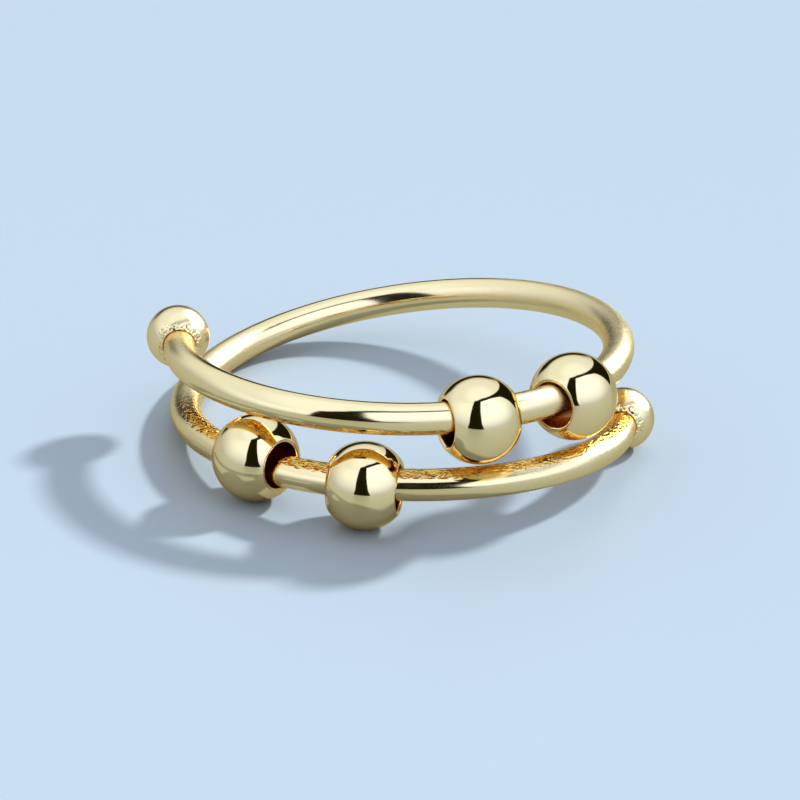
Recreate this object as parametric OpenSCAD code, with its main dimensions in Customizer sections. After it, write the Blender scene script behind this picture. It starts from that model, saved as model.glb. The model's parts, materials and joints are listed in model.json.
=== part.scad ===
// Spinner ring: one round wire coiled a turn and a half, with a drilled ball on each end
// and four loose beads to spin and slide on its two front strands. It lies on a table at z = 0.

/* [Coil] */
// Thickness of the round wire
wire_d = 1.5; // [1:0.1:2]
// Clear width inside the back turn, where the finger goes
inside_d = 19.5; // [15:0.5:24]
// How much further out than the back turn the front strands run
front_swell = 0.15; // [0:0.05:0.6]
// Least room between a bead and the strand above or below it
strand_gap = 0.05; // [0:0.05:1]
// Lean of each front strand away from the other toward its free end, in degrees
splay = 1.25; // [0:0.25:4]
// Where the back turn meets the upper strand, in degrees round from the right-hand side
back_from = 2.5; // [-10:0.5:15]
// Where the back turn meets the lower strand, in degrees round from the right-hand side
back_to = 194.5; // [180:0.5:205]
// How far round the upper strand runs, in degrees
upper_sweep = 155; // [130:1:160]
// How far round the lower strand runs, in degrees
lower_sweep = 135; // [110:1:150]

/* [Wire ends] */
// Radius to which each end of the wire turns in
end_bend_r = 7; // [4:0.5:12]
// How far each end turns in, in degrees
end_bend = 22; // [0:1:40]
// Straight wire that shows between the bend and the ball
end_straight = 0.5; // [0.2:0.1:2]

/* [End balls] */
// Diameter of the ball on each end
end_ball_d = 3; // [2.4:0.1:4]
// How much wider than the wire the ball's hole is
end_hole_slack = 0.1; // [0.04:0.02:0.3]
// How far past the ball's centre the wire reaches
end_reach = 0.4; // [0:0.1:0.8]
// Room left between the wire's tip and the hole's floor
end_tip_gap = 0.05; // [0.02:0.01:0.2]
// Width of the bevel round the mouth of the ball's hole
end_hole_bevel = 0.12; // [0.05:0.01:0.2]

/* [Beads] */
// Diameter of each loose bead
bead_d = 4.1; // [3.2:0.1:6]
// How much wider than the wire a bead's bore is
bore_slack = 0.65; // [0.4:0.05:1]
// Room left between bead and wire where the bead hangs on it or carries it
bead_seat_gap = 0.06; // [0.02:0.01:0.12]
// Width of the bevel round each mouth of the bore
bore_bevel = 0.08; // [0.02:0.01:0.2]
// From the back turn round the lower strand to the middle of its left bead, in degrees
lower_left_at = 34.2; // [22:0.1:60]
// Clear length of wire between the two lower beads
lower_pair_gap = 1.65; // [0.2:0.05:3]
// From the back turn round the upper strand to the middle of its right bead, in degrees
upper_right_at = 41.4; // [22:0.1:60]
// Clear length of wire between the two upper beads
upper_pair_gap = 1.5; // [0.2:0.05:3]

/* [Hidden] */
$fn = 64;

gold = "#d8c88c";

// How far the bends' roots reach into their neighbours, and how much thinner they are
root_reach = 0.1;
root_step = 0.01;

// Rounds in which the resting plane is worked out, and degrees between the balls that fill the wire
settle_rounds = 12;
filling_step = 2;

back_r = (inside_d + wire_d) / 2;
front_r = back_r + front_swell;
back_sweep = back_to - back_from;
bore_d = wire_d + bore_slack;
end_hole_d = wire_d + end_hole_slack;
end_tip = end_straight + end_ball_d / 2;

// A straight bore shares the wire's bend between its middle and its two mouths
bore_half = sqrt(pow(bead_d / 2, 2) - pow(bore_d / 2, 2));
bend_share = (front_r - sqrt(pow(front_r, 2) - pow(bore_half, 2))) / 2;
bead_play = sqrt(pow(bore_slack / 2 - bead_seat_gap, 2) - pow(bend_share, 2));

// The back turn climbs by one strand's pitch
strand_rise = (bead_d + wire_d) / 2 + bead_play + strand_gap;
back_lean = asin(strand_rise / (back_r * (cos(back_from) - cos(back_to))));

lower_right_at = lower_left_at + degrees(bead_d + lower_pair_gap, front_r);
upper_left_at = upper_right_at + degrees(bead_d + upper_pair_gap, front_r);

// Placing matrices: a frame's x points out of the coil and its y runs along the wire
function move(v) = [[1, 0, 0, v.x], [0, 1, 0, v.y], [0, 0, 1, v.z], [0, 0, 0, 1]];
function turn_y(a) = [[cos(a), 0, sin(a), 0], [0, 1, 0, 0], [-sin(a), 0, cos(a), 0], [0, 0, 0, 1]];
function turn_z(a) = [[cos(a), -sin(a), 0, 0], [sin(a), cos(a), 0, 0], [0, 0, 1, 0], [0, 0, 0, 1]];
function flip_y() = [[1, 0, 0, 0], [0, -1, 0, 0], [0, 0, 1, 0], [0, 0, 0, 1]];
function along_arc(r, a) = move([-r, 0, 0]) * turn_z(a) * move([r, 0, 0]);
function part_of(m, column) = [m[0][column], m[1][column], m[2][column]];
function outward(m) = part_of(m, 0);
function place(m) = part_of(m, 3);
function degrees(length, r) = length / r * 180 / PI;
function unit(v) = v / norm(v);

back_start = turn_y(-back_lean) * turn_z(back_from) * move([back_r, 0, 0]);
lower_start = back_start * along_arc(back_r, back_sweep) * turn_y(-back_lean - splay);
upper_start = back_start * flip_y() * turn_y(back_lean + splay);
function on_lower(angle) = lower_start * along_arc(front_r, angle);
function on_upper(angle) = upper_start * along_arc(front_r, angle);
function tip_of(start, sweep) =
    start * along_arc(front_r, sweep) * along_arc(end_bend_r, end_bend) * move([0, end_tip, 0]);
upper_ball_frame = tip_of(upper_start, upper_sweep);
lower_ball_frame = tip_of(lower_start, lower_sweep);

// Middle of a bead at a frame, drawn in by its share of the bend and shifted up or down
function bead_middle(frame, up, shift) = place(frame) - bend_share * outward(frame) + shift * up;

// Upward direction of the plane that touches three balls from below
function plane_under(a, ra, b, rb, c, rc) =
    let (u = a - b, v = a - c, w = cross(u, v), ww = w * w)
    let (flat = ((ra - rb) * cross(v, w) + (ra - rc) * cross(w, u)) / ww)
    flat + sqrt(1 - flat * flat) * unit(w) * sign(w.z);

// Lowest point of the back turn's centre line for a given upward direction
function back_low(up) =
    let (x = place(turn_y(-back_lean) * move([1, 0, 0])), y = [0, 1, 0])
    -back_r * unit((up * x) * x + (up * y) * y);

// The coil rests on its left lower bead, its lower ball and the low side of its back turn
function settle(up, rounds) = rounds < 1 ? up : settle(plane_under(
    bead_middle(on_lower(lower_left_at), up, bead_play), bead_d / 2,
    place(lower_ball_frame), end_ball_d / 2,
    back_low(up), wire_d / 2), rounds - 1);
up = settle([0, 0, 1], settle_rounds);
table = place(lower_ball_frame) * up - end_ball_d / 2;

// The left lower bead carries the wire, the right one lies loose and the upper ones hang
lower_left_frame = on_lower(lower_left_at);
lower_right_frame = on_lower(lower_right_at);
upper_left_frame = on_upper(upper_left_at);
upper_right_frame = on_upper(upper_right_at);
loose_shift = table + bead_d / 2 - bead_middle(lower_right_frame, up, 0) * up;
lower_right_shift = max(-bead_play, min(bead_play, loose_shift));
beads = [
    bead_middle(lower_left_frame, up, bead_play),
    bead_middle(lower_right_frame, up, lower_right_shift),
    bead_middle(upper_left_frame, up, -bead_play),
    bead_middle(upper_right_frame, up, -bead_play)
];

// The ring stands in the middle of its own box, so the box is found from the balls that fill it
rest_axis = cross(up, [0, 0, 1]);
rest_turn = acos(up.z);
function rested(p) =
    let (k = unit(rest_axis), c = cos(rest_turn), s = sin(rest_turn))
    p * c + cross(k, p) * s + k * (k * p) * (1 - c);
filling = concat(
    [for (a = [0 : filling_step : back_sweep]) [place(back_start * along_arc(back_r, a)), wire_d / 2]],
    [for (a = [0 : filling_step : lower_sweep]) [place(lower_start * along_arc(front_r, a)), wire_d / 2]],
    [for (a = [0 : filling_step : upper_sweep]) [place(upper_start * along_arc(front_r, a)), wire_d / 2]],
    [for (b = beads) [b, bead_d / 2]],
    [for (m = [upper_ball_frame, lower_ball_frame]) [place(m), end_ball_d / 2]]
);
function middle(i) =
    (max([for (f = filling) rested(f[0])[i] + f[1]]) + min([for (f = filling) rested(f[0])[i] - f[1]])) / 2;
box_middle = [middle(0), middle(1)];

module on_table() {
    translate([-box_middle.x, -box_middle.y, -table]) rotate(a = rest_turn, v = rest_axis) children();
}

// Wire bent from the origin, setting off along y and turning toward -x; its children follow on.
// With roots it is a hair thinner and reaches into the wire at both its ends, which makes one solid.
module bend(r, sweep, roots = false) {
    reach = roots ? degrees(root_reach, r) : 0;
    thickness = roots ? wire_d - root_step : wire_d;
    translate([-r, 0, 0]) {
        rotate_extrude(start = -reach, angle = sweep + 2 * reach) translate([r, 0]) circle(d = thickness);
        rotate([0, 0, sweep]) translate([r, 0, 0]) children();
    }
}

module strand(sweep) {
    bend(front_r, sweep) bend(end_bend_r, end_bend, roots = true)
        rotate([-90, 0, 0]) cylinder(h = end_tip + end_reach, d = wire_d);
}

module coil_wire() {
    color(gold) on_table() rotate([0, -back_lean, 0]) rotate([0, 0, back_from]) translate([back_r, 0, 0]) {
        bend(back_r, back_sweep, roots = true) rotate([0, -back_lean - splay, 0]) strand(lower_sweep);
        mirror([0, 1, 0]) rotate([0, back_lean + splay, 0]) strand(upper_sweep);
    }
}

// Ball with a blind hole for the wire, which comes in from -y
module end_ball(frame) {
    mouth = sqrt(pow(end_ball_d / 2, 2) - pow(end_hole_d / 2 + end_hole_bevel, 2));
    color(gold) on_table() multmatrix(frame) rotate([-90, 0, 0]) difference() {
        sphere(d = end_ball_d);
        translate([0, 0, -end_ball_d]) cylinder(h = end_ball_d + end_reach + end_tip_gap, d = end_hole_d);
        translate([0, 0, -mouth - end_hole_bevel])
            cylinder(h = 2 * end_hole_bevel, d1 = end_hole_d + 4 * end_hole_bevel, d2 = end_hole_d);
    }
}

// Bead bored right through along the wire
module bead(frame, centre) {
    bevelled_r = bore_d / 2 + bore_bevel;
    mouth = sqrt(pow(bead_d / 2, 2) - pow(bevelled_r, 2));
    color(gold) on_table() translate(centre - place(frame)) multmatrix(frame) rotate([-90, 0, 0]) difference() {
        sphere(d = bead_d);
        cylinder(h = 2 * bead_d, d = bore_d, center = true);
        for (side = [0, 1]) mirror([0, 0, side]) translate([0, 0, mouth - bore_bevel])
            cylinder(h = 2 * bore_bevel, d1 = bore_d, d2 = bore_d + 4 * bore_bevel);
    }
}

module upper_end_ball() { end_ball(upper_ball_frame); }
module lower_end_ball() { end_ball(lower_ball_frame); }
module lower_left_bead() { bead(lower_left_frame, beads[0]); }
module lower_right_bead() { bead(lower_right_frame, beads[1]); }
module upper_left_bead() { bead(upper_left_frame, beads[2]); }
module upper_right_bead() { bead(upper_right_frame, beads[3]); }

coil_wire();
upper_end_ball();
lower_end_ball();
lower_left_bead();
lower_right_bead();
upper_left_bead();
upper_right_bead();
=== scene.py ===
# %% [markdown]
# A spinner ring is one round wire coiled about a turn and a half, with a drilled ball on each end and
# four drilled beads that slide and spin on its two front strands. Everything on it is polished and
# plated pale gold, so nearly all that the eye sees is reflection. That decides how this scene is made:
# surfaces exact enough to reflect a straight edge cleanly, a metal with very little texture of its own,
# and a studio whose bright walls and dark gaps give the metal something to show.

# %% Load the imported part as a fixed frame
import json
import math

import bpy
import numpy as np
from mathutils import Matrix, Vector


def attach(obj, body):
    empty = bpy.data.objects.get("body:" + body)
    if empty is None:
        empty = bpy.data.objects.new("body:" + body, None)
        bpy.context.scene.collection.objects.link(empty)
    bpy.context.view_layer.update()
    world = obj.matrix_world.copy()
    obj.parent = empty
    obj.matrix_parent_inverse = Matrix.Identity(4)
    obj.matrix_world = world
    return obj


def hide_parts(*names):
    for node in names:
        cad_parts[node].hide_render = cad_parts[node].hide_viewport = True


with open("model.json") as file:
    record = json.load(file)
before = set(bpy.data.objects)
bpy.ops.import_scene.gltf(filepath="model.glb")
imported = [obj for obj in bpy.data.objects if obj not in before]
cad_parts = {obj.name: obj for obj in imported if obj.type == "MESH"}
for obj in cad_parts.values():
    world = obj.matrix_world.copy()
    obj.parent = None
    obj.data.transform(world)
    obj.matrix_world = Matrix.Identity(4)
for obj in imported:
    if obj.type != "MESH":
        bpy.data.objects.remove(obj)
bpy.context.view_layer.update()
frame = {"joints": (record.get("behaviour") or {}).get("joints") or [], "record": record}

# %% [markdown]
# The camera comes first, because every later choice is judged through it. It stands where the
# photograph's stood: close, about 25 degrees above the table, and a little rolled, as a camera in the
# hand is. The long lens for that distance keeps the front and the back of the ring nearly the same
# size. It aims straight at the ring, so it needs no shift.

# %% Camera
MM = 0.001
AIM = Vector((0, 0.1, 1.74)) * MM
CAMERA_DISTANCE = 190 * MM
CAMERA_ELEVATION = math.radians(25.35)
CAMERA_TURN = math.radians(1.08)
CAMERA_ROLL = math.radians(2.78)
LENS = 178.1
SENSOR_WIDTH = 36
NEAREST_SEEN = 10 * MM
FARTHEST_SEEN = 10

camera = bpy.data.objects.new("camera", bpy.data.cameras.new("camera"))
camera.data.sensor_width = SENSOR_WIDTH
camera.data.lens = LENS
camera.data.clip_start = NEAREST_SEEN
camera.data.clip_end = FARTHEST_SEEN
looking = Vector((
    math.sin(CAMERA_TURN) * math.cos(CAMERA_ELEVATION),
    math.cos(CAMERA_TURN) * math.cos(CAMERA_ELEVATION),
    -math.sin(CAMERA_ELEVATION),
))
upright = looking.to_track_quat("-Z", "Y").to_matrix()
rolled = upright @ Matrix.Rotation(CAMERA_ROLL, 3, "Z")
camera.matrix_world = Matrix.Translation(AIM - CAMERA_DISTANCE * looking) @ rolled.to_4x4()
bpy.context.scene.collection.objects.link(camera)
bpy.context.scene.camera = camera
print("camera at", [round(1000 * x, 1) for x in camera.location], "mm")

# %% [markdown]
# Two small helpers serve every material. One turns a colour as a paint program writes it into the
# linear light that Cycles counts in. The other adds one node, with its settings and what feeds it.

# %% Helpers for colours and nodes
def linear(colour):
    """sRGB hex to linear RGBA: up to 0.04045 the value over 12.92, and above it the value plus 0.055,
    over 1.055, to the power 2.4."""
    parts = [int(colour[i:i + 2], 16) / 255 for i in (1, 3, 5)]
    return [p / 12.92 if p <= 0.04045 else ((p + 0.055) / 1.055) ** 2.4 for p in parts] + [1.0]


def add(tree, kind, inputs=(), **settings):
    """Adds one shader node. Settings are its properties. Inputs go by position in a list or by name in
    a dictionary, and each is a value, an output socket or another node, whose first output in use is
    meant."""
    made = tree.nodes.new("ShaderNode" + kind)
    for name, value in settings.items():
        setattr(made, name, value)
    for place, value in inputs.items() if isinstance(inputs, dict) else enumerate(inputs):
        if isinstance(value, bpy.types.Node):
            value = next(output for output in value.outputs if output.enabled)
        if isinstance(value, bpy.types.NodeSocket):
            tree.links.new(value, made.inputs[place])
        else:
            made.inputs[place].default_value = value
    return made


# %% [markdown]
# The wire's route is the one that the part's own source follows: circular arcs, each starting in the
# direction in which the last one ended. A frame, a 4 by 4 matrix, walks along it: its x axis points
# out of the coil and its y axis runs along the wire. Where a front strand begins, the plane of the bend
# tips, so that the two strands lean a little away from each other. Both ends turn in towards the
# finger. The holes of the end balls are a hair wider than the wire here, because solder fills the rest.

# %% Sizes of the wire and its route, in millimetres and degrees
WIRE_D = 1.5
INSIDE_D = 19.5
FRONT_SWELL = 0.15
SPLAY = 1.25
BACK_FROM = 2.5
BACK_TO = 194.5
UPPER_SWEEP = 155
LOWER_SWEEP = 135
END_BEND_R = 7
END_BEND = 22
END_STRAIGHT = 0.5

BEAD_D = 4.1
BORE_D = WIRE_D + 0.65
STRAND_GAP = 0.05
BEAD_SEAT_GAP = 0.06

END_BALL_D = 3
END_HOLE_D = WIRE_D + 0.02
END_REACH = 0.4
END_TIP_GAP = 0.05

back_r = (INSIDE_D + WIRE_D) / 2
front_r = back_r + FRONT_SWELL
end_tip = END_STRAIGHT + END_BALL_D / 2
bore_half = math.sqrt((BEAD_D / 2) ** 2 - (BORE_D / 2) ** 2)
bend_share = (front_r - math.sqrt(front_r ** 2 - bore_half ** 2)) / 2
bead_play = math.sqrt(((BORE_D - WIRE_D) / 2 - BEAD_SEAT_GAP) ** 2 - bend_share ** 2)
strand_rise = (BEAD_D + WIRE_D) / 2 + bead_play + STRAND_GAP
reach_across = back_r * (math.cos(math.radians(BACK_FROM)) - math.cos(math.radians(BACK_TO)))
back_lean = math.degrees(math.asin(strand_rise / reach_across))
print(f"the back turn leans {back_lean:.2f} degrees, to climb {strand_rise:.2f} mm")

# %% [markdown]
# A frame moves along the route when it is multiplied by small turns and shifts, each one given in the
# frame's own axes. Blender's own matrices could do that one frame at a time. As numpy arrays they also
# carry whole runs of points at once.

# %% Frames along the route
def turn(axis, degrees):
    """A turn about one of the frame's own axes."""
    return np.array(Matrix.Rotation(math.radians(degrees), 4, axis))


def shift(x, y, z):
    """A move along the frame's own axes."""
    return np.array(Matrix.Translation((x, y, z)))


def along_arc(r, degrees):
    """From a frame to the one further along a bend of radius r that turns towards the frame's -x:
    back to the bend's centre, round by the angle, and out again."""
    return shift(-r, 0, 0) @ turn("Z", degrees) @ shift(r, 0, 0)


back_start = turn("Y", -back_lean) @ turn("Z", BACK_FROM) @ shift(back_r, 0, 0)
lower_start = back_start @ along_arc(back_r, BACK_TO - BACK_FROM) @ turn("Y", -back_lean - SPLAY)
upper_start = back_start @ np.diag([1, -1, 1, 1]) @ turn("Y", back_lean + SPLAY)


def tip_of(start, sweep):
    """The frame in the middle of the ball on the strand that sets off at start."""
    return start @ along_arc(front_r, sweep) @ along_arc(END_BEND_R, END_BEND) @ shift(0, end_tip, 0)


# %% [markdown]
# All of this is worked out in the coil's own frame, with the finger's axis upright. The ring lies
# tilted on the table, on one bead, one end ball and the back turn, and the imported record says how: its
# finger opening gives the middle of the coil and the direction of its axis. The shortest turn that
# lays the ring down takes the table's upward direction, seen from the coil, to straight up.

# %% From the coil's frame to the table
opening = frame["record"]["mounts"][0]
coil_axis = Vector(opening["axis"]).normalized()
table_up = Vector((-coil_axis.x, -coil_axis.y, coil_axis.z))
laid_down = np.array(table_up.rotation_difference(Vector((0, 0, 1))).to_matrix())
coil_middle = np.array(opening["pos_m"]) / MM
coil_lean = math.degrees(coil_axis.angle(Vector((0, 0, 1))))
print("the coil leans", round(coil_lean, 2), "degrees on the table")


def on_table(points):
    """Points from the coil's frame, in mm, turned and moved to where the ring lies: rotation times
    point, plus the coil's middle."""
    return points @ laid_down.T + coil_middle


# %% [markdown]
# A surface of mirror metal needs many faces with shared corners, because any flat facet shows as a
# kink in a reflection. Each piece is therefore a grid of points worked out in one go from formulas:
# one direction of the grid goes along the piece and the other goes round it. Each corner also keeps
# its place on the piece as it was made, the straight wire or the bead upright in its lathe, so that
# the fine marks of the finish can follow the surface.

# %% From a grid of points to a mesh
def skin(name, grid, as_made, poles=None):
    """A smooth closed surface over a grid of points. Rows go along the piece and columns go round it,
    so each face joins the corners (i, j), (i, j+1), (i+1, j+1) and (i+1, j), and the last column joins
    the first. Without poles the last row joins the first too. With poles, two points close the ends
    with fans."""
    rows, around = grid.shape[:2]
    i = np.arange(rows if poles is None else rows - 1)[:, None]
    j = np.arange(around)[None, :]
    up, side = (i + 1) % rows, (j + 1) % around
    four = [i * around + j, i * around + side, up * around + side, up * around + j]
    quads = np.stack(four, -1).reshape(-1, 4)
    points, made, fans = [grid.reshape(-1, 3)], [as_made.reshape(-1, 3)], np.zeros((0, 3), int)
    if poles is not None:
        first, last = rows * around, rows * around + 1
        points.append(np.array([pole[0] for pole in poles]))
        made.append(np.array([pole[1] for pole in poles]))
        column = np.arange(around)
        beside = (column + 1) % around
        top = (rows - 1) * around
        start_fan = np.stack([np.full(around, first), beside, column], -1)
        end_fan = np.stack([np.full(around, last), top + column, top + beside], -1)
        fans = np.concatenate([start_fan, end_fan])
    points, made = np.concatenate(points), np.concatenate(made)
    mesh = bpy.data.meshes.new(name)
    mesh.vertices.add(len(points))
    mesh.vertices.foreach_set("co", (points * MM).astype(np.float32).ravel())
    joined = np.concatenate([quads.ravel(), fans.ravel()])
    mesh.loops.add(len(joined))
    mesh.loops.foreach_set("vertex_index", joined.astype(np.int32))
    starts = np.concatenate([4 * np.arange(len(quads)), quads.size + 3 * np.arange(len(fans))])
    mesh.polygons.add(len(starts))
    mesh.polygons.foreach_set("loop_start", starts.astype(np.int32))
    mesh.update(calc_edges=True)
    mesh.validate()
    mesh.polygons.foreach_set("use_smooth", np.ones(len(mesh.polygons), bool))
    attribute = mesh.attributes.new("as_made", "FLOAT_VECTOR", "POINT")
    attribute.data.foreach_set("vector", made.astype(np.float32).ravel())
    piece = bpy.data.objects.new(name, mesh)
    bpy.context.scene.collection.objects.link(piece)
    print(f"{name}: {len(mesh.vertices)} corners, {2 * len(quads) + len(fans)} triangles")
    return piece


# %% [markdown]
# The wire is a circle carried along the route. A carried circle needs a steady idea of which way is
# up, or the skin twists. Here the finger's axis serves: it never runs along the wire, so what is left
# of it square to the wire is a steady second axis all the way round.

# %% Points along the wire
STATION_GAP = 0.09
TIP_ROUNDING = 0.12
TIP_STATIONS = 8
WIRE_AROUND = 64


def arc_points(start, r, sweep):
    """Points along a bend, a station gap apart: r times (cos a - 1, sin a, 0) in the starting frame."""
    a = np.radians(np.linspace(0, sweep, max(2, round(math.radians(sweep) * r / STATION_GAP))))
    local = np.stack([r * np.cos(a) - r, r * np.sin(a), 0 * a, 0 * a + 1], -1)
    return (local @ start.T)[:, :3]


def straight_points(start, length):
    """Points along a straight run from the starting frame along its y axis."""
    y = np.linspace(0, length, max(2, round(length / STATION_GAP)))
    local = np.stack([0 * y, y, 0 * y, 0 * y + 1], -1)
    return (local @ start.T)[:, :3]


def strand_points(start, sweep):
    """One front strand with its bent-in end, up to the wire's tip inside the ball."""
    bend = start @ along_arc(front_r, sweep)
    run = bend @ along_arc(END_BEND_R, END_BEND)
    parts = [arc_points(start, front_r, sweep), arc_points(bend, END_BEND_R, END_BEND)]
    parts.append(straight_points(run, end_tip + END_REACH))
    return np.concatenate([parts[0], parts[1][1:], parts[2][1:]])


upper = strand_points(upper_start, UPPER_SWEEP)
lower = strand_points(lower_start, LOWER_SWEEP)
back = arc_points(back_start, back_r, BACK_TO - BACK_FROM)
route = np.concatenate([upper[:0:-1], back, lower[1:]])
steps = np.linalg.norm(np.diff(route, axis=0), axis=1)
run_length = np.concatenate([[0], np.cumsum(steps)])
print(f"the wire is {run_length[-1]:.1f} mm long, in {len(route)} stations")

# %% [markdown]
# A curve object with a round bevel could draw the wire, but its corners wouldn't know how far along the
# wire they are. So each ring of corners is worked out from its station. The sawn tips are hidden in the
# balls and need no more than a small rounding.

# %% The wire's skin
def wire_skin():
    """Each corner is the station plus the wire's radius times (cos p across + sin p up), where up is
    the finger's axis made square to the wire and across is square to both. At both tips a quarter
    circle rounds the edge."""
    edge = TIP_ROUNDING * (1 - np.cos(np.linspace(0, math.pi / 2, TIP_STATIONS)))
    total = run_length[-1]
    inner = run_length[(run_length > TIP_ROUNDING) & (run_length < total - TIP_ROUNDING)]
    along = np.concatenate([edge, inner, (total - edge)[::-1]])
    centres = np.stack([np.interp(along, run_length, route[:, k]) for k in range(3)], -1)
    ahead = np.gradient(route, run_length, axis=0)
    tangent = np.stack([np.interp(along, run_length, ahead[:, k]) for k in range(3)], -1)
    tangent /= np.linalg.norm(tangent, axis=1, keepdims=True)
    up = np.array([0, 0, 1]) - tangent[:, 2:] * tangent
    up /= np.linalg.norm(up, axis=1, keepdims=True)
    across = np.cross(up, tangent)
    to_tip = np.minimum(np.minimum(along, total - along), TIP_ROUNDING)
    rounding = TIP_ROUNDING - np.sqrt(TIP_ROUNDING ** 2 - (TIP_ROUNDING - to_tip) ** 2)
    radius = (WIRE_D / 2 - rounding)[:, None]
    p = np.linspace(0, 2 * math.pi, WIRE_AROUND, endpoint=False)[None, :]
    ring = np.cos(p)[..., None] * across[:, None] + np.sin(p)[..., None] * up[:, None]
    ring = radius[..., None] * ring
    as_made = np.stack([radius * np.cos(p), radius * np.sin(p), along[:, None] + 0 * p], -1)
    tips = [(on_table(route[k]), np.array([0, 0, run_length[k]])) for k in (0, -1)]
    return skin("gold_coil_wire", on_table(centres[:, None] + ring), as_made, tips)


coil_wire = wire_skin()

# %% [markdown]
# Beads and end balls are turned in a lathe, so each is a profile spun about the hole's axis. A bead's
# profile is a closed loop: round the outside, over a small rounded lip, through the bore and over the
# other lip. The lip matters although it is only a tenth of a millimetre wide, because it always
# catches some bright wall and so draws a fine bright line round the hole. An end ball is drilled half
# way, so its profile runs from the pole round to the lip, down the hole and across its floor.

# %% Profiles that are spun
BEAD_LIP = 0.13
BALL_LIP = 0.04
OUTSIDE_STEPS = 110
LIP_STEPS = 12
BORE_STEPS = 26
AROUND = 160


def lip_centre(ball_r, hole_r, lip_r):
    """Height of the centre of a lip's small circle, which touches the ball from inside and the hole's
    wall: the third side of a right triangle with the other two known."""
    return math.sqrt((ball_r - lip_r) ** 2 - (hole_r + lip_r) ** 2)


def circle_part(centre, r, start, end, steps):
    """Points (out, height) on a part of a circle, with angles in radians from the outward direction."""
    a = np.linspace(start, end, steps)
    return np.stack([centre[0] + r * np.cos(a), centre[1] + r * np.sin(a)], -1)


def bead_profile():
    """The outside from the lower lip to the upper, the upper lip, the bore's wall and the lower lip."""
    ball_r, hole_r = BEAD_D / 2, BORE_D / 2
    height = lip_centre(ball_r, hole_r, BEAD_LIP)
    edge = math.atan2(height, hole_r + BEAD_LIP)
    outside = circle_part((0, 0), ball_r, -edge, edge, OUTSIDE_STEPS)
    top_lip = circle_part((hole_r + BEAD_LIP, height), BEAD_LIP, edge, math.pi, LIP_STEPS)
    wall = np.stack([np.full(BORE_STEPS, hole_r), np.linspace(height, -height, BORE_STEPS)], -1)
    low_centre = (hole_r + BEAD_LIP, -height)
    low_lip = circle_part(low_centre, BEAD_LIP, math.pi, 2 * math.pi - edge, LIP_STEPS)
    return np.concatenate([outside, top_lip[1:], wall[1:], low_lip[1:-1]])


def end_ball_profile():
    """From just off the far pole round the outside to the lip, down the hole's wall and in along its
    floor."""
    ball_r, hole_r = END_BALL_D / 2, END_HOLE_D / 2
    height = lip_centre(ball_r, hole_r, BALL_LIP)
    edge = math.atan2(height, hole_r + BALL_LIP)
    floor = -END_REACH - END_TIP_GAP
    outside = circle_part((0, 0), ball_r, -math.pi / 2, edge, OUTSIDE_STEPS)
    lip = circle_part((hole_r + BALL_LIP, height), BALL_LIP, edge, math.pi, LIP_STEPS)
    wall = np.stack([np.full(BORE_STEPS, hole_r), np.linspace(height, floor, BORE_STEPS)], -1)
    bottom = np.stack([np.linspace(hole_r, 0, LIP_STEPS), np.full(LIP_STEPS, floor)], -1)
    return np.concatenate([outside[1:], lip[1:], wall[1:], bottom[1:-1]])


# %% [markdown]
# A Screw modifier could spin the profile. Worked out as one array it takes no more lines, and each
# corner keeps its place in the lathe.

# %% Spinning a profile
def spin(name, profile, frame_there, poles=None):
    """Spins a profile (out, height) about the hole's axis: each corner is out times (cos p, sin p),
    with its height along the axis, then moved by the frame, whose z column is that axis."""
    p = np.linspace(0, 2 * math.pi, AROUND, endpoint=False)[None, :]
    out, height = profile[:, :1], profile[:, 1:]
    as_made = np.stack([out * np.cos(p), out * np.sin(p), height + 0 * p], -1)
    placed = as_made @ frame_there[:3, :3].T + frame_there[:3, 3]
    ends = None if poles is None else [
        (frame_there[:3, :3] @ [0, 0, z] + frame_there[:3, 3], np.array([0, 0, z])) for z in poles
    ]
    return skin(name, placed, as_made, ends)


# %% [markdown]
# Where a bead hangs is known exactly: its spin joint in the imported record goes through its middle,
# along its bore. The balls sit at the ends of the route, with their holes facing back along the wire.

# %% Beads and end balls
def upright_on(axis, middle):
    """A frame with its z column along the axis and its origin at the middle."""
    turned = Vector(axis).to_track_quat("Z", "Y").to_matrix().to_4x4()
    placed = np.array(turned)
    placed[:3, 3] = middle
    return placed


beads = {}
for joint in frame["joints"]:
    there = upright_on(joint["axis"], np.array(joint["pos_m"]) / MM)
    beads[joint["child"]] = spin("gold_" + joint["child"], bead_profile(), there)

balls = {}
for end, start, sweep in (("upper", upper_start, UPPER_SWEEP), ("lower", lower_start, LOWER_SWEEP)):
    tip = tip_of(start, sweep)
    there = upright_on(laid_down @ -tip[:3, 1], on_table(tip[:3, 3]))
    poles = (-END_BALL_D / 2, -END_REACH - END_TIP_GAP)
    balls[end + "_end_ball"] = spin("gold_" + end + "_end_ball", end_ball_profile(), there, poles)

# %% [markdown]
# The metal is brass with a thin bright plating of pale gold. A metal's colour is all in its reflection,
# so the shader is fully metallic with the plating's colour as base colour, and light that goes back and
# forth between two gold surfaces turns deeper at each bounce. That makes the orange lines where the
# strands face each other, together with a deeper gold painted on those sides further down, which is
# painted bounce light. A paler gold tints the glancing light, so that the rims stay gold. The beads are
# nearly mirrors, with faint changes where a polishing cloth left the plating a little hazier. The balls
# and parts of the wire are more satin.
#
# Every pattern reads the as_made coordinates, which are in millimetres, so the scale of a noise texture
# is how many of its marks go into a millimetre. The cloth left clouds about 1.4 mm wide. An edge, here
# and below, is a pair of values: where something begins, and from where it is all there. A Map Range
# node turns what lies between them into a share.

# %% Gold plating
CHAMPAGNE_GOLD = "#fbdea2"
GLANCING_GOLD = "#faeacb"
CLOUDS_PER_MM = 0.7
CLOUD_EDGE = (0.35, 0.7)


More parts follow.
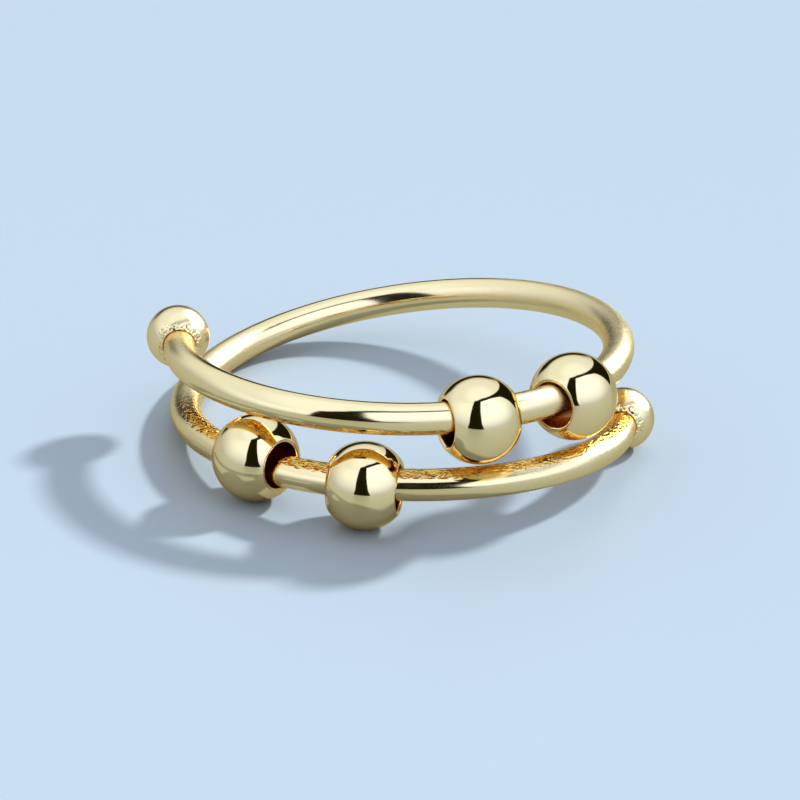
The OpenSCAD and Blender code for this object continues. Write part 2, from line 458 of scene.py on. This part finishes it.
def plating(name, smooth, hazy):
    """Polished gold plate and its parts: the node tree, the shader, the as_made coordinates and the
    roughness, which goes from smooth to hazy in clouds."""
    material = bpy.data.materials.new(name)
    material.use_nodes = True
    tree = material.node_tree
    shader = tree.nodes["Principled BSDF"]
    shader.inputs["Base Color"].default_value = linear(CHAMPAGNE_GOLD)
    shader.inputs["Specular Tint"].default_value = linear(GLANCING_GOLD)
    shader.inputs["Metallic"].default_value = 1
    made = add(tree, "Attribute", attribute_name="as_made").outputs["Vector"]
    haze = add(tree, "TexNoise", {"Vector": made, "Scale": CLOUDS_PER_MM, "Detail": 3})
    polish = add(tree, "MapRange", [haze, *CLOUD_EDGE, smooth, hazy])
    tree.links.new(polish.outputs["Result"], shader.inputs["Roughness"])
    return material, tree, shader, made, polish


# %% [markdown]
# A bead's hole is rougher than the outside, as the drill left it, and its wall is given a browner
# colour. The surface that lies within the bore's radius of the bead's axis is the hole's wall.

# %% Gold of the beads
BEAD_ROUGHNESS = (0.045, 0.08)
BORE_GOLD = "#b0713c"
BORE_ROUGHNESS = 0.26
BORE_EDGE = (BORE_D / 2 + 0.03, BORE_D / 2 + 0.005)

bead_gold, tree, shader, made, polish = plating("gold_plated_turned_bead", *BEAD_ROUGHNESS)
split = add(tree, "SeparateXYZ", [made]).outputs
flat = add(tree, "CombineXYZ", [split["X"], split["Y"]])
from_axis = add(tree, "VectorMath", [flat], operation="LENGTH").outputs["Value"]
inside = add(tree, "MapRange", [from_axis, *BORE_EDGE, 0.0, 1.0])
gold, bore_gold = linear(CHAMPAGNE_GOLD), linear(BORE_GOLD)
colour = add(tree, "Mix", {"Factor": inside, "A": gold, "B": bore_gold}, data_type="RGBA")
rough = add(tree, "Mix", {"Factor": inside, "A": polish, "B": BORE_ROUGHNESS})
tree.links.new(colour.outputs["Result"], shader.inputs["Base Color"])
tree.links.new(rough.outputs["Result"], shader.inputs["Roughness"])
print(bead_gold.name, "has", len(tree.nodes), "nodes")

# %% [markdown]
# The balls are soldered on after they are polished. Round the wire the solder leaves a ragged collar of
# fine grains under the plating, which sparkle. The pits between them are painted a deeper gold: painted
# bounce light and shade, standing in for the light that real pits would catch between gold surfaces. The
# grains are bumps of noise about 0.2 mm wide, and they grow in towards the hole. Tongues of solder about
# 0.4 mm wide make the collar ragged: its edge lies where the height on the ball, towards the hole, and a
# share of that noise add up to enough. It is a soft edge, eased where it begins and where it ends.

# %% Gold of the end balls
SOFT = {"interpolation_type": "SMOOTHSTEP"}
BALL_ROUGHNESS = (0.19, 0.26)
TONGUES_PER_MM = 2.5
TONGUE_LENGTH = 0.9
COLLAR_EDGE = (1.42, 1.66)
GRAINS_PER_MM = 4.5
GRAIN_DEPTH = 0.14
GRAIN_ROUGHNESS = 0.12
PAINTED_PIT_GOLD = "#f0cb88"
PIT_EDGE = (0.52, 0.42)

ball_gold, tree, shader, made, polish = plating("gold_plated_turned_end_ball", *BALL_ROUGHNESS)
along_hole = add(tree, "SeparateXYZ", [made]).outputs["Z"]
ragged = add(tree, "TexNoise", {"Vector": made, "Scale": TONGUES_PER_MM, "Detail": 2})
edge = add(tree, "Math", [ragged, TONGUE_LENGTH, along_hole], operation="MULTIPLY_ADD")
collar = add(tree, "MapRange", [edge, *COLLAR_EDGE, 0.0, 1.0], **SOFT)
grains = add(tree, "TexNoise", {"Vector": made, "Scale": GRAINS_PER_MM, "Detail": 1})
bumps = add(tree, "Math", [grains, 0.5], operation="SUBTRACT")
height = add(tree, "Math", [bumps, collar], operation="MULTIPLY")
bump = add(tree, "Bump", {"Height": height, "Distance": GRAIN_DEPTH * MM})
tree.links.new(bump.outputs["Normal"], shader.inputs["Normal"])
rough = add(tree, "Mix", {"Factor": collar, "A": polish, "B": GRAIN_ROUGHNESS})
tree.links.new(rough.outputs["Result"], shader.inputs["Roughness"])
# Painted bounce light and shade: the low places between the grains get a deeper gold.
painted_pits = add(tree, "MapRange", [grains, *PIT_EDGE, 0.0, collar])
painted_pit_gold = linear(PAINTED_PIT_GOLD)
colour = add(tree, "Mix", {"Factor": painted_pits, "A": gold, "B": painted_pit_gold}, data_type="RGBA")
tree.links.new(colour.outputs["Result"], shader.inputs["Base Color"])
print(ball_gold.name, "has", len(tree.nodes), "nodes")

# %% [markdown]
# The wire was drawn, bent round a mandrel and then polished, and the wheel doesn't reach everywhere. The
# sides of the two strands that face each other keep fine dimples, the back turn is a little hazier, and
# the bends at both ends and at the sides stay satin. Where the strands face each other, and faintly at
# the left turn, the gold is also painted deeper: painted bounce light, standing in for light thrown back
# and forth between the strands. The as_made coordinates tell these places apart: Z is the distance along
# the wire from its upper tip, and Y points up, towards the upper strand. The real grain of a satin
# polish is about a hundredth of a millimetre, too fine to show, so it is drawn 0.09 mm wide, about two
# pixels of the picture. This grain comes in with the cube of how satin a place is, which keeps the
# satin's edges smooth.

# %% Where the wire is satin
WIRE_ROUGHNESS = (0.07, 0.1)
TURN_AT = [0, 33.5, 67, 98]
TURN_HALF = [8, 14.5, 11, 13]
TURN_EDGE = 5
GRAIN_POWER = 3.0
SATIN_PER_MM = 11.0
SATIN_EDGE = (0.3, 0.7)
SATIN_ROUGHNESS = (0.17, 0.27)
GRAINLESS_ROUGHNESS = 0.22
BACK_MIDDLE = 51
BACK_HALF = 17
BACK_EDGE = 5
BACK_HAZE = 0.05


def apart(tree, value, middle):
    """How far a value is from a middle one on either side: their difference without its sign."""
    off = add(tree, "Math", [value, middle], operation="SUBTRACT")
    return add(tree, "Math", [off], operation="ABSOLUTE")


wire_gold, tree, shader, made, polish = plating("gold_plated_drawn_wire", *WIRE_ROUGHNESS)
split = add(tree, "SeparateXYZ", [made]).outputs
satin = 0.0
for middle, half in zip(TURN_AT, TURN_HALF):
    off = apart(tree, split["Z"], middle)
    near = add(tree, "MapRange", [off, half, half - TURN_EDGE, 0.0, 1.0], **SOFT)
    satin = add(tree, "Math", [satin, near], operation="MAXIMUM")
fully_satin = add(tree, "Math", [satin, GRAIN_POWER], operation="POWER")
fine = add(tree, "TexNoise", {"Vector": made, "Scale": SATIN_PER_MM, "Detail": 2})
grain = add(tree, "MapRange", [fine, *SATIN_EDGE, *SATIN_ROUGHNESS])
grain = add(tree, "Mix", {"Factor": fully_satin, "A": GRAINLESS_ROUGHNESS, "B": grain})
from_back = apart(tree, split["Z"], BACK_MIDDLE)
haze = add(tree, "MapRange", [from_back, BACK_HALF, BACK_HALF - BACK_EDGE, 0.0, BACK_HAZE])
rough = add(tree, "Math", [satin, grain, polish], operation="MULTIPLY_ADD")
rough = add(tree, "Math", [rough, haze], operation="ADD")
print("satin round", TURN_AT, "mm along the wire")

# %% [markdown]
# The dimples are about 0.14 mm wide and two and a half times as long, drawn out along the wire, as a
# die leaves them. The left turn is hammered all round, but hardly a tenth as deep. All heights of the
# surface are in millimetres here.

# %% Dimples of the wire and its painted bounce light
UPPER_BEGINS = (7, 10)
UPPER_ENDS = (36, 30)
LOWER_BEGINS = (66, 72)
UNDERSIDE_EDGE = (-0.27, -0.44)
TOP_SIDE_EDGE = (0.48, 0.63)
PAINTED_BOUNCE_GOLD = "#eab75c"
DIMPLES_PER_MM = 7.0
DIMPLE_SQUEEZE = (1, 1, 0.4)
DIMPLE_DEPTH = 0.085
DIMPLE_ROUGHNESS = 0.07
HAMMERED_AT = 67
HAMMERED_HALF = 12
HAMMERED_EDGE = 5
HAMMERED_AND_BOUNCE_SHARE = 0.08
SATIN_DEPTH = 0.002

upper_strand = add(tree, "MapRange", [split["Z"], *UPPER_BEGINS, 0.0, 1.0])
upper_strand = add(tree, "MapRange", [split["Z"], *UPPER_ENDS, 0.0, upper_strand])
lower_strand = add(tree, "MapRange", [split["Z"], *LOWER_BEGINS, 0.0, 1.0])
underside = add(tree, "MapRange", [split["Y"], *UNDERSIDE_EDGE, 0.0, upper_strand], **SOFT)
top_side = add(tree, "MapRange", [split["Y"], *TOP_SIDE_EDGE, 0.0, lower_strand], **SOFT)
dimples_and_painted_bounce = add(tree, "Math", [underside, top_side], operation="MAXIMUM")
off = apart(tree, split["Z"], HAMMERED_AT)
hammered_edge = (HAMMERED_HALF, HAMMERED_HALF - HAMMERED_EDGE)
hammered_and_painted_bounce = add(tree, "MapRange", [off, *hammered_edge, 0.0, HAMMERED_AND_BOUNCE_SHARE])
dimples_and_painted_bounce = add(tree, "Math", [dimples_and_painted_bounce, hammered_and_painted_bounce], operation="MAXIMUM")

drawn_out = add(tree, "VectorMath", [made, DIMPLE_SQUEEZE], operation="MULTIPLY")
dimples = add(tree, "TexNoise", {"Vector": drawn_out, "Scale": DIMPLES_PER_MM, "Detail": 1})
dimples = add(tree, "Math", [dimples, 0.5], operation="SUBTRACT")
dimples = add(tree, "Math", [dimples, dimples_and_painted_bounce], operation="MULTIPLY")
dimples = add(tree, "Math", [dimples, DIMPLE_DEPTH], operation="MULTIPLY")
satin_height = add(tree, "Math", [fine, fully_satin], operation="MULTIPLY")
height = add(tree, "Math", [satin_height, SATIN_DEPTH, dimples], operation="MULTIPLY_ADD")
rough = add(tree, "Mix", {"Factor": dimples_and_painted_bounce, "A": rough, "B": DIMPLE_ROUGHNESS})
tree.links.new(rough.outputs["Result"], shader.inputs["Roughness"])
# Painted bounce light: where the strands face each other, and faintly at the left turn, a deeper gold
# stands in for light thrown between the strands.
painted_bounce_gold = linear(PAINTED_BOUNCE_GOLD)
colour = add(tree, "Mix", {"Factor": dimples_and_painted_bounce, "A": gold, "B": painted_bounce_gold}, data_type="RGBA")
tree.links.new(colour.outputs["Result"], shader.inputs["Base Color"])

# %% [markdown]
# The fronts of the strands aren't quite parts of a perfect coil: reflections of the studio's dark gap
# are longer there, and half as thick, as those that a true round wire would draw. Slow rises and falls
# of the height, which only the shading knows, turn the surface by up to 22 degrees and put them there.
# Some run along the strand: each has its beginning, its end and its rise. One runs across it, and makes
# the upper half of its front fall back faster: it begins, is whole, starts to fade and is gone at the
# four places of its span. Places along a strand are counted from its foremost point, in millimetres.

# %% Fronts of the strands
FRONT_SLOPES = (
    ((-6.5, 2.5, -0.98), (-0.5, 6, 0.4)),
    ((0, 9.5, 1.55),),
)
KEEN_EDGE = (0.08, 0.62)
KEEN_FALL = -0.135
KEEN_SPANS = ((-10, -5, -4.5, 1.5), (-9, -4, 6, 10))

keen = add(tree, "MapRange", [split["Y"], *KEEN_EDGE, 0.0, KEEN_FALL], **SOFT)
# The station of each strand that lies furthest to the front
fronts = (route[:len(upper), 1].argmin(), len(upper) + route[len(upper):, 1].argmin())
for front, slopes, (grow, whole, wane, gone) in zip(fronts, FRONT_SLOPES, KEEN_SPANS):
    at = float(run_length[front])
    print("foremost at", round(at, 2), "mm along the wire")
    for before, after, rise in slopes:
        slope = add(tree, "MapRange", [split["Z"], at + before, at + after, 0.0, rise], **SOFT)
        height = add(tree, "Math", [height, slope], operation="ADD")
    near = add(tree, "MapRange", [split["Z"], at + grow, at + whole, 0.0, 1.0], **SOFT)
    near = add(tree, "MapRange", [split["Z"], at + gone, at + wane, 0.0, near], **SOFT)
    across = add(tree, "Math", [keen, near], operation="MULTIPLY")
    height = add(tree, "Math", [height, across], operation="ADD")
bump = add(tree, "Bump", {"Height": height, "Distance": MM})
tree.links.new(bump.outputs["Normal"], shader.inputs["Normal"])
print(wire_gold.name, "has", len(tree.nodes), "nodes")

# %% [markdown]
# Each piece gets its gold, rides on the body that its CAD piece belongs to, and takes the place of that
# piece in the picture. So a bead turns round its wire by itself, and the balls stay with the coil.

# %% Finish and body of each piece
coil_wire.data.materials.append(wire_gold)
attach(coil_wire, "coil")
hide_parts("coil_wire")
for node, bead in beads.items():
    bead.data.materials.append(bead_gold)
    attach(bead, node)
    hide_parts(node)
for node, ball in balls.items():
    ball.data.materials.append(ball_gold)
    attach(ball, "coil")
    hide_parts(node)
print("pieces:", ["coil_wire", *balls, *beads])

# %% [markdown]
# The floor is a plain sheet with a slight sheen, and it is large, so that its edge lies at the horizon
# when it is seen in a bead. The sheen lets the tent's bright panels run on softly below the horizon in
# every bead. In reflections in the gold the floor has a darker colour than the one the camera sees: this
# is painted shade, the same over the whole sheet.

# %% Floor
FLOOR_COLOUR = "#a7a8a0"
PAINTED_SHADE_FLOOR_IN_GOLD = "#989787"
FLOOR_ROUGHNESS = 0.45
FLOOR_HALF = 2.0

floor_mesh = bpy.data.meshes.new("floor")
corners = [(-FLOOR_HALF, -FLOOR_HALF, 0), (FLOOR_HALF, -FLOOR_HALF, 0)]
corners += [(FLOOR_HALF, FLOOR_HALF, 0), (-FLOOR_HALF, FLOOR_HALF, 0)]
floor_mesh.from_pydata(corners, [], [(0, 1, 2, 3)])
floor = bpy.data.objects.new("floor", floor_mesh)
bpy.context.scene.collection.objects.link(floor)
sheet = bpy.data.materials.new("satin_sheet")
sheet.use_nodes = True
tree = sheet.node_tree
# Painted shade: to glossy rays the floor has a darker colour than to the camera.
in_gold = add(tree, "LightPath").outputs["Is Glossy Ray"]
seen_colour, painted_shade_colour = linear(FLOOR_COLOUR), linear(PAINTED_SHADE_FLOOR_IN_GOLD)
colour = add(tree, "Mix", {"Factor": in_gold, "A": seen_colour, "B": painted_shade_colour}, data_type="RGBA")
shader = tree.nodes["Principled BSDF"]
tree.links.new(colour.outputs["Result"], shader.inputs["Base Color"])
shader.inputs["Roughness"].default_value = FLOOR_ROUGHNESS
floor_mesh.materials.append(sheet)
print("the floor is", 2 * FLOOR_HALF, "m wide")

# %% [markdown]
# The studio is a light tent: white walls all round, a gap in front for the camera, a low dark opening
# behind, and a dark bar that sags from the gap's top over the ring to the right, where it meets a dark
# doorway. Polished gold shows these as black shapes between cream fields. Real walls and bars would
# stand in the way of a camera that goes round the ring, so the tent is painted on the sky instead, as
# brightness by direction: a compass angle from the camera's side, growing to the right, and a height
# above the horizon, both in degrees. The camera itself sees a plain pale sky.

# %% Directions on the sky
world = bpy.data.worlds.new("light_tent")
bpy.context.scene.world = world
world.use_nodes = True
sky = world.node_tree
sky.nodes.clear()

direction = add(sky, "SeparateXYZ", [add(sky, "TexCoord")]).outputs
to_camera = add(sky, "Math", [direction["Y"], -1.0], operation="MULTIPLY")
compass = add(sky, "Math", [direction["X"], to_camera], operation="ARCTAN2")
compass = add(sky, "Math", [compass], operation="DEGREES")
height = add(sky, "Math", [direction["Z"]], operation="ARCSINE")
height = add(sky, "Math", [height], operation="DEGREES")

# %% [markdown]
# The bar's height falls off with the square of the angle from its highest place, and again, more
# steeply, with the square of the angle past where it droops. The gap's top ends at the same curve. The
# gap leans a little to the left on its way up and is widest overhead and at its foot. Past 70 degrees
# to the right the bar grows wider, and at the doorway it reaches down to the table. All angles are in
# degrees.

# %% Distances from the bar and from the gap
BAR_HEIGHT = 80.0
BAR_TURN = 30.0
BAR_SAG = 0.0022
DROOP_FROM = 85.0
DROOP = 0.005
WIDER_FROM = 70.0
WIDER_BY = 0.005
GAP_TURN = -7.0
GAP_LEAN = -0.12
GAP_HALF = 16.5
GAP_FOOT = 4.5
FOOT_EDGE = (18, -4)
FLARE_FROM = 40.0
FLARE = 0.006
DOOR_EDGE = (111, 131)
DOOR_DEPTH = 60
BEHIND_TURN = 13.0
HALF_ROUND = 180.0


def squared_past(value, start):
    """The square of how far a value is past its start, and 0 before it."""
    past = add(sky, "Math", [value, start], operation="SUBTRACT")
    past = add(sky, "Math", [past, 0.0], operation="MAXIMUM")
    return add(sky, "Math", [past, past], operation="MULTIPLY")


turned = add(sky, "Math", [compass, BAR_TURN], operation="SUBTRACT")
squared = add(sky, "Math", [turned, turned], operation="MULTIPLY")
bar_height = add(sky, "Math", [squared, -BAR_SAG, BAR_HEIGHT], operation="MULTIPLY_ADD")
drooping = squared_past(compass, DROOP_FROM)
bar_height = add(sky, "Math", [drooping, -DROOP, bar_height], operation="MULTIPLY_ADD")
over_bar = add(sky, "Math", [height, bar_height], operation="SUBTRACT")

doorway = add(sky, "MapRange", [compass, *DOOR_EDGE, 0, DOOR_DEPTH], **SOFT)
growth = squared_past(compass, WIDER_FROM)
growth = add(sky, "Math", [growth, WIDER_BY, doorway], operation="MULTIPLY_ADD")
over_edge = add(sky, "Math", [over_bar, growth], operation="ADD")

gap_middle = add(sky, "Math", [height, GAP_LEAN, GAP_TURN], operation="MULTIPLY_ADD")
foot = add(sky, "MapRange", [height, *FOOT_EDGE, GAP_HALF, GAP_HALF + GAP_FOOT], **SOFT)
flare = squared_past(height, FLARE_FROM)
gap_half = add(sky, "Math", [flare, FLARE, foot], operation="MULTIPLY_ADD")
from_gap = apart(sky, compass, gap_middle)
beside_gap = add(sky, "Math", [from_gap, gap_half], operation="SUBTRACT")

from_back = apart(sky, apart(sky, compass, BEHIND_TURN), HALF_ROUND)

# %% [markdown]
# Every shape of the tent is a list of soft edges: something measured, the value at which the shape is
# not there yet, and the value from which it is all there. The first number of the list is how dark or
# how bright the shape is. Two bright panels beside the gap give the beads their cream fields, and a
# third hangs overhead.

# %% Shapes of the tent
shapes = {
    "gap": [1.0, (beside_gap, 1.5, -1.5), (over_bar, 1.5, -1.5), (height, -6, -3)],
    "bar": [
        1.0, (over_edge, -9, -6), (over_bar, 1.5, -1.5), (compass, -4, 0), (compass, 172, 164),
        (height, 1.5, 5),
    ],
    "behind": [0.95, (from_back, 34, 20), (height, 26, 12)],
    "right_panel": [
        0.75, (compass, 0, 8), (compass, 132, 70), (over_bar, -3, -7), (height, -8, 16),
    ],
    "left_panel": [
        0.41, (compass, -115, -60), (compass, 2, -4), (over_bar, 5, -13), (height, -8, 16),
    ],
    "top_panel": [0.36, (height, 48, 72)],
}
masks = {}
for shape, (strength, *edges) in shapes.items():
    for value, outside, inside in edges:
        strength = add(sky, "MapRange", [value, outside, inside, 0.0, strength], **SOFT)
    masks[shape] = strength
print("shapes of the tent:", list(masks))

dark = masks["gap"]
for shape in ("bar", "behind"):
    dark = add(sky, "Math", [dark, masks[shape]], operation="MAXIMUM")
panels = masks["top_panel"]
for shape in ("right_panel", "left_panel"):
    panels = add(sky, "Math", [panels, masks[shape]], operation="MAXIMUM")

# %% [markdown]
# The walls are nearly twice as bright overhead as near the table. What is dark takes away from walls
# and panels alike, and shows a dark brown cloth instead, so that black shapes in the gold stay warm.

# %% Light of the tent
TENT_WHITE = "#d0e3ff"
PANEL_WHITE = "#aac2ff"
PLAIN_SKY = "#c5d8e7"
WALL_HEIGHTS = (-5, 40)
WALL_BRIGHTNESS = (0.75, 1.4)
DARK_CLOTH = "#1b1b0a"

shown = add(sky, "MapRange", [dark, 0.0, 1.0, 1.0, 0.0], **SOFT)
walls = add(sky, "MapRange", [height, *WALL_HEIGHTS, *WALL_BRIGHTNESS], **SOFT)
walls = add(sky, "Math", [walls, shown], operation="MULTIPLY")
panels = add(sky, "Math", [panels, shown], operation="MULTIPLY")
wall_light = add(sky, "Background", [linear(TENT_WHITE), walls])
panel_light = add(sky, "Background", [linear(PANEL_WHITE), panels])
cloth_light = add(sky, "Background", [linear(DARK_CLOTH), dark])
white_light = add(sky, "AddShader", [wall_light, panel_light])
tent = add(sky, "AddShader", [white_light, cloth_light])
plain = add(sky, "Background", [linear(PLAIN_SKY), 1.0])
seen = add(sky, "LightPath").outputs["Is Camera Ray"]
add(sky, "OutputWorld", {"Surface": add(sky, "MixShader", [seen, tent, plain])})
print("the sky has", len(sky.nodes), "nodes")

# %% [markdown]
# A soft key light from behind on the right throws the ring's shadow forward to the left. A sun lamp
# does, because all that shows of it is its direction and how wide it looks, which sets how soft the
# shadow's edge is. It is left out of mirror reflections. A weaker, wider twin beside it leaves the
# white gleams on the satin places: on the balls, at the side turns and on the strand's end. In a
# studio, black cards would keep its image off the mirror-bright beads. Here light linking does: it
# shines only on the pieces of its own collection. Directions are given as on the sky.

# %% Key light and its twin
satin_pieces = bpy.data.collections.new("satin_pieces")
for piece in (coil_wire, *balls.values()):
    satin_pieces.objects.link(piece)

lamps = (
    {"name": "key_light", "energy": 6.2, "width": 6, "compass": 128.3, "height": 36},
    {"name": "gleam_light", "energy": 4.0, "width": 50, "compass": 133, "height": 30},
)
for lamp in lamps:
    sun = bpy.data.objects.new(lamp["name"], bpy.data.lights.new(lamp["name"], "SUN"))
    sun.data.energy = lamp["energy"]
    sun.data.color = linear(TENT_WHITE)[:3]
    sun.data.angle = math.radians(lamp["width"])
    round_by, up_by = math.radians(lamp["compass"]), math.radians(lamp["height"])
    level = Vector((math.sin(round_by), -math.cos(round_by), 0))
    comes_from = math.cos(up_by) * level + math.sin(up_by) * Vector((0, 0, 1))
    sun.rotation_euler = comes_from.to_track_quat("Z", "Y").to_euler()
    bpy.context.scene.collection.objects.link(sun)
    print(lamp["name"], "comes from", [round(x, 2) for x in comes_from])
    if lamp["name"] == "key_light":
        sun.visible_glossy = False
    else:
        sun.light_linking.receiver_collection = satin_pieces

# %% [markdown]
# The Standard view shows the colours as they are worked out, without softening the brightest ones, as
# the photograph has them. Light may go back and forth ten times between gold surfaces, because each
# time deepens the orange between the strands.

# %% Picture settings
bpy.context.scene.view_settings.view_transform = "Standard"
bpy.context.scene.cycles.glossy_bounces = 10
